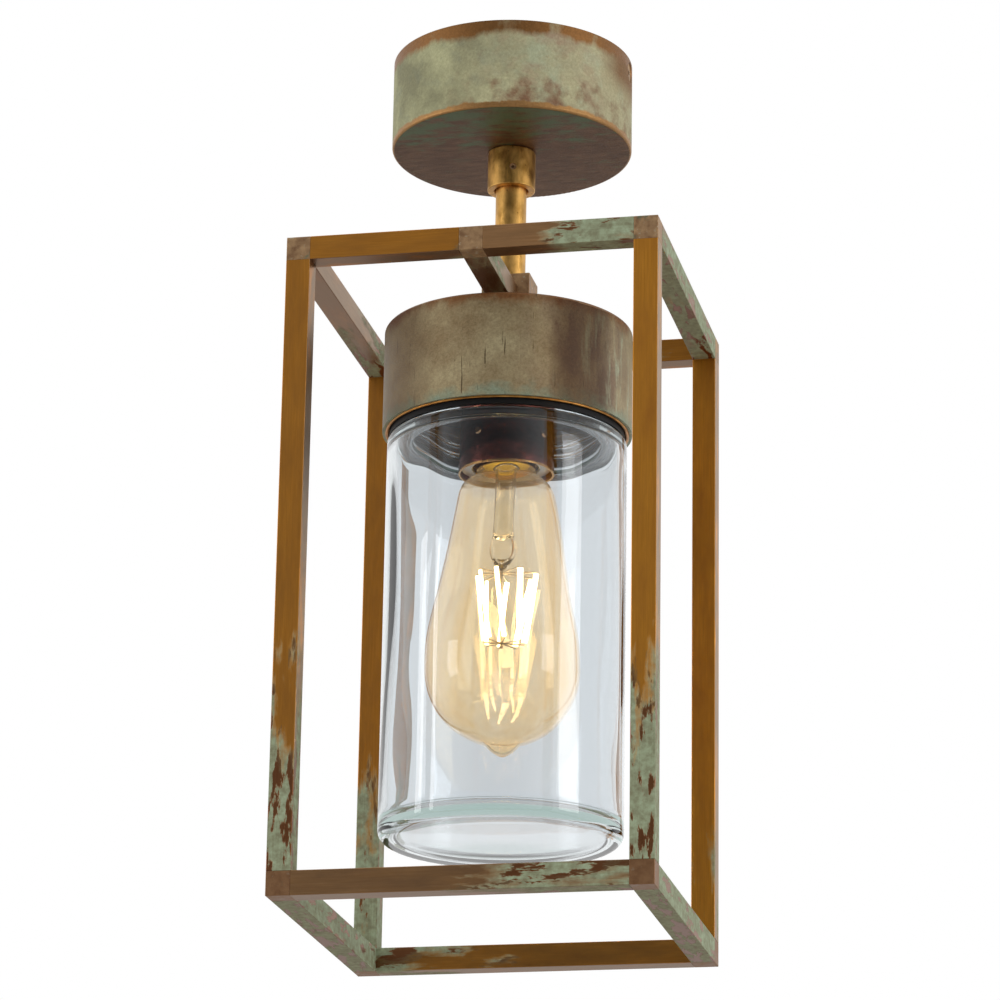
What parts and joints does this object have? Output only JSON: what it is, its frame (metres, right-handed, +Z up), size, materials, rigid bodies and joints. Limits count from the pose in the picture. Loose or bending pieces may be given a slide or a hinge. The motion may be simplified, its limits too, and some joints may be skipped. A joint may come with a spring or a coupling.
{
  "type": "porch ceiling lantern",
  "caption": "Ceiling lantern: square open tube frame on a short stem and round canopy, holding a round housing with a screw-in clear glass jar and a filament lamp.",
  "frame": {"origin": "centre of the canopy's rim plane, which is the ceiling", "axes": "+Z up into the ceiling along the stem, +X along the bracket and its two side screws, -Y towards the front of the frame"},
  "size_m": [0.154, 0.154, 0.3775],
  "materials": {
    "aged_brass": "satin",
    "verdigris_brass": "matte",
    "golden_brass": "satin",
    "brown_brass": "satin",
    "dark_copper_brass": "gloss",
    "lamp_brass": "gloss",
    "zinc_steel": "satin",
    "white_nylon": "matte",
    "core_pvc": "matte",
    "sheath_pvc": "matte",
    "holder_porcelain": "gloss",
    "black_glass": "gloss",
    "gasket_rubber": "matte",
    "jar_glass": "gloss",
    "amber_glass": "gloss",
    "lamp_inner_glass": "gloss",
    "filament": "matte",
    "support_wire": "satin"
  },
  "bodies": {
    "canopy": {"canopy_cup": "verdigris_brass", "ceiling_bracket": "zinc_steel", "canopy_screws": "zinc_steel", "terminal_block": "white_nylon", "terminal_screws": "zinc_steel", "supply_cores": "core_pvc", "canopy_nipple": "zinc_steel", "canopy_washer": "zinc_steel", "canopy_locknut": "zinc_steel", "stem_collar": "golden_brass", "collar_grub_screw": "zinc_steel"},
    "lantern": {"stem_tube": "golden_brass", "flex_sheath": "sheath_pvc", "post_front_left": "aged_brass", "post_front_right": "aged_brass", "post_rear_left": "aged_brass", "post_rear_right": "aged_brass", "bottom_rail_front": "aged_brass", "bottom_rail_rear": "aged_brass", "bottom_rail_left": "aged_brass", "bottom_rail_right": "aged_brass", "top_rail_front_left": "aged_brass", "top_rail_front_right": "aged_brass", "top_rail_rear_left": "aged_brass", "top_rail_rear_right": "aged_brass", "top_rail_left": "aged_brass", "top_rail_right": "aged_brass", "crossbar_front": "aged_brass", "crossbar_rear": "aged_brass", "corner_top_front_left": "brown_brass", "corner_top_front_right": "brown_brass", "corner_top_rear_left": "brown_brass", "corner_top_rear_right": "brown_brass", "corner_bottom_front_left": "brown_brass", "corner_bottom_front_right": "brown_brass", "corner_bottom_rear_left": "brown_brass", "corner_bottom_rear_right": "brown_brass", "tee_front": "brown_brass", "tee_rear": "brown_brass", "centre_block": "brown_brass", "housing_shell": "verdigris_brass", "housing_nipple": "zinc_steel", "housing_washer": "zinc_steel", "lantern_locknuts": "zinc_steel", "thread_ring": "aged_brass", "holder_cup": "dark_copper_brass", "holder_rivets": "dark_copper_brass", "holder_insulator": "holder_porcelain", "holder_screw_shell": "lamp_brass", "holder_contact": "lamp_brass", "holder_cores": "core_pvc"},
    "gasket": {"jar_gasket": "gasket_rubber"},
    "jar": {"glass_jar": "jar_glass"},
    "lamp_base": {"lamp_cap_insulator": "black_glass"},
    "lamp": {"lamp_envelope": "amber_glass", "lamp_cap_shell": "lamp_brass", "lamp_contact": "lamp_brass", "lamp_stem": "lamp_inner_glass", "lamp_filaments": "filament", "lamp_supports": "support_wire"}
  },
  "joints": [
    {"name": "stem_swivel", "type": "hinge", "parent": "canopy", "child": "lantern", "pos_m": [0, 0, -0.05], "axis": [0, 0, 1], "range_deg": [-175, 175]},
    {"name": "jar_drop", "type": "slide", "parent": "lantern", "child": "gasket", "axis": [0, 0, -1], "range_m": [0, 0.008]},
    {"name": "jar_turn", "type": "hinge", "parent": "gasket", "child": "jar", "pos_m": [0, 0, -0.2], "axis": [0, 0, -1], "range_deg": [0, 720]},
    {"name": "lamp_drop", "type": "slide", "parent": "lantern", "child": "lamp_base", "axis": [0, 0, -1], "range_m": [0, 0.02177]},
    {"name": "lamp_turn", "type": "hinge", "parent": "lamp_base", "child": "lamp", "pos_m": [0, 0, -0.2], "axis": [0, 0, -1], "range_deg": [0, 2160]}
  ],
  "couplings": [
    {"joint": "jar_drop", "follows": "jar_turn", "m_per_rad": 0.00063662},
    {"joint": "lamp_drop", "follows": "lamp_turn", "m_per_rad": 0.00057757}
  ]
}
